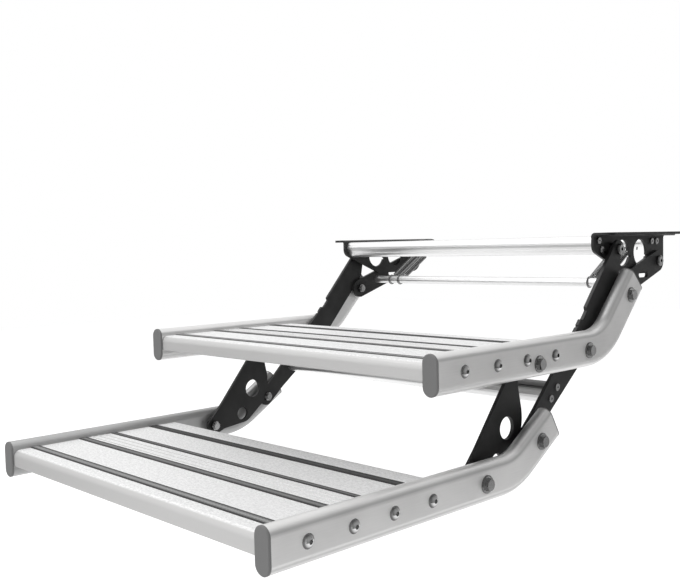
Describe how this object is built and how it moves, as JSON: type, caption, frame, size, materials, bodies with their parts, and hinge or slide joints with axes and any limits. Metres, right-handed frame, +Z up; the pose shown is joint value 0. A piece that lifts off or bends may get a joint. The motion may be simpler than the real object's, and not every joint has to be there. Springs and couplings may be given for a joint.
{
  "type": "caravan entry step",
  "caption": "Folding double entry step for a caravan door, hung from two slotted brackets on pivoting links with over-centre return springs.",
  "frame": {"origin": "midway between the centre holes of the two mounting flanges, on their top faces", "axes": "+Z up against the caravan floor, -Y outwards to the person stepping in, +X to the right seen along +Y"},
  "size_m": [0.613, 0.927, 0.3336],
  "materials": {
    "black_steel": "black powder-coated steel plate, low sheen",
    "bright_bar": "bright extruded aluminium",
    "round_bar": "bright zinc-plated steel tube",
    "zinc_hardware": "zinc-plated steel fastener",
    "chrome_hardware": "polished stainless fastener",
    "spring_wire": "zinc-plated spring wire",
    "rail_aluminium": "satin anodised aluminium extrusion",
    "tread_aluminium": "silver anodised aluminium plank with fine grain",
    "grip_rubber": "dark grey grip strip",
    "cap_plastic": "mid-grey moulded plastic cap"
  },
  "bodies": {
    "mount_frame": {"right_bracket": "black_steel", "left_bracket": "black_steel", "front_crossbar": "bright_bar", "rear_crossbar": "bright_bar", "crossbar_screws": "zinc_hardware", "front_pivot_bolts": "zinc_hardware", "rear_pivot_bolts": "zinc_hardware", "front_pivot_spacers": "zinc_hardware", "frame_nuts": "zinc_hardware"},
    "front_links": {"right_front_link": "black_steel", "left_front_link": "black_steel", "link_crossbar": "bright_bar", "link_crossbar_screws": "zinc_hardware"},
    "rear_links": {"right_rear_link": "black_steel", "left_rear_link": "black_steel", "spring_crossbar": "round_bar", "spring_crossbar_screws": "zinc_hardware", "rear_link_studs": "zinc_hardware", "rear_link_nuts": "zinc_hardware"},
    "lower_links": {"right_lower_link": "black_steel", "left_lower_link": "black_steel", "lower_link_studs": "zinc_hardware", "lower_link_nuts": "zinc_hardware"},
    "upper_step": {"upper_right_rail": "rail_aluminium", "upper_left_rail": "rail_aluminium", "upper_front_caps": "cap_plastic", "upper_rear_caps": "cap_plastic", "upper_front_plank": "tread_aluminium", "upper_ribbed_plank": "tread_aluminium", "upper_third_plank": "tread_aluminium", "upper_rear_plank": "tread_aluminium", "upper_grip_strips": "grip_rubber", "upper_tread_screws": "chrome_hardware", "upper_bend_bolts": "chrome_hardware", "upper_mid_bolts": "chrome_hardware", "upper_arm_bolts": "chrome_hardware", "upper_washers": "zinc_hardware", "upper_bushes": "zinc_hardware", "upper_nuts": "zinc_hardware"},
    "lower_step": {"lower_right_rail": "rail_aluminium", "lower_left_rail": "rail_aluminium", "lower_front_caps": "cap_plastic", "lower_rear_caps": "cap_plastic", "lower_front_plank": "tread_aluminium", "lower_ribbed_plank": "tread_aluminium", "lower_third_plank": "tread_aluminium", "lower_rear_plank": "tread_aluminium", "lower_grip_strips": "grip_rubber", "lower_tread_screws": "chrome_hardware", "lower_bend_bolts": "chrome_hardware", "lower_arm_bolts": "chrome_hardware", "lower_washers": "zinc_hardware", "lower_nuts": "zinc_hardware"},
    "return_springs": {"return_springs": "spring_wire"}
  },
  "joints": [
    {"name": "front_link_fold", "type": "hinge", "parent": "mount_frame", "child": "front_links", "pos_m": [0, -0.075, -0.0252], "axis": [1, 0, 0], "range_deg": [0, 106.82]},
    {"name": "rear_link_fold", "type": "hinge", "parent": "mount_frame", "child": "rear_links", "pos_m": [0, 0.061, -0.0465], "axis": [1, 0, 0], "range_deg": [0, 166.01]},
    {"name": "upper_step_turn", "type": "hinge", "parent": "front_links", "child": "upper_step", "pos_m": [0, -0.2044, -0.1654], "axis": [1, 0, 0], "range_deg": [-106.78, 0]},
    {"name": "lower_step_turn", "type": "hinge", "parent": "front_links", "child": "lower_step", "pos_m": [0, -0.325, -0.27499], "axis": [1, 0, 0], "range_deg": [-107.67, 0]},
    {"name": "lower_link_turn", "type": "hinge", "parent": "upper_step", "child": "lower_links", "pos_m": [0, -0.329, -0.1716], "axis": [1, 0, 0], "range_deg": [0, 93]},
    {"name": "spring_turn", "type": "hinge", "parent": "mount_frame", "child": "return_springs", "pos_m": [0, 0.056, -0.021], "axis": [1, 0, 0], "range_deg": [0, 138.87], "deforming": ["return_springs"]}
  ],
  "couplings": [
    {"joint": "rear_link_fold", "follows": "front_link_fold", "ratio": 1.554},
    {"joint": "upper_step_turn", "follows": "front_link_fold", "ratio": -0.99949},
    {"joint": "lower_step_turn", "follows": "front_link_fold", "ratio": -1.0078},
    {"joint": "lower_link_turn", "follows": "front_link_fold", "ratio": 0.87055},
    {"joint": "spring_turn", "follows": "front_link_fold", "ratio": 1.3}
  ]
}
